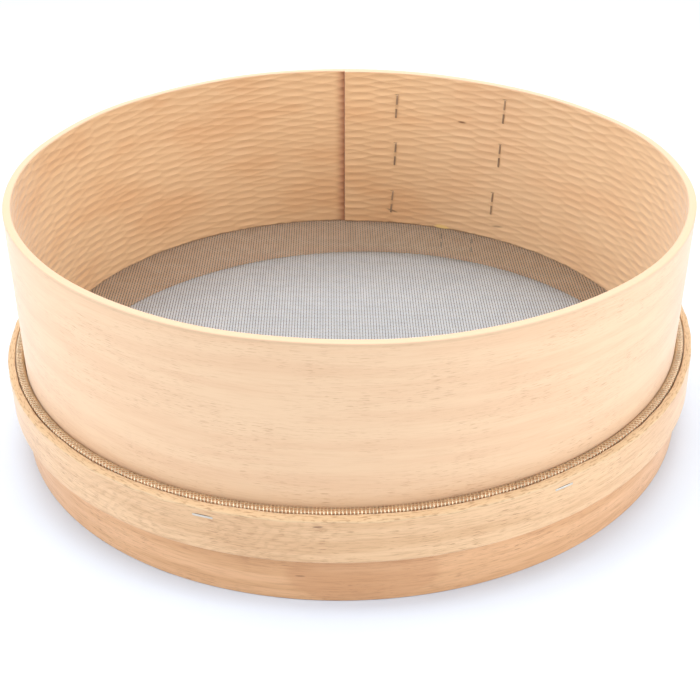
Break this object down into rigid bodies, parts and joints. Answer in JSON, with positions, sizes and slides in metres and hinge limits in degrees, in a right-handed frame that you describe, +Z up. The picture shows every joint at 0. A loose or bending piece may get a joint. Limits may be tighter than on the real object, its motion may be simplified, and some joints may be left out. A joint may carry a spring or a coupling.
{
  "type": "drum sieve",
  "caption": "Round kitchen drum sieve: a tall bent-wood hoop over a foot ring, with woven wire cloth clamped between them by a stapled outer hoop.",
  "frame": {"origin": "centre of the sieve on the table, under the foot ring", "axes": "+Z up along the foot ring's axis, -Y towards the viewer of the picture, +X to the right"},
  "size_m": [0.3168, 0.3168, 0.1161],
  "materials": {
    "drum_wood": "bare beech, sanded outside, rippled inside",
    "ring_wood": "bare beech, a shade darker",
    "hoop_wood": "bare beech, sanded",
    "wire_cloth": "plain woven stainless wire",
    "staple_steel": "flat staple wire"
  },
  "bodies": {
    "root": {"drum_hoop": "drum_wood", "drum_staples": "staple_steel", "foot_ring": "ring_wood", "ring_staples": "staple_steel", "outer_hoop": "hoop_wood", "hoop_staples": "staple_steel", "mesh_floor": "wire_cloth", "mesh_edge": "wire_cloth"}
  },
  "joints": []
}
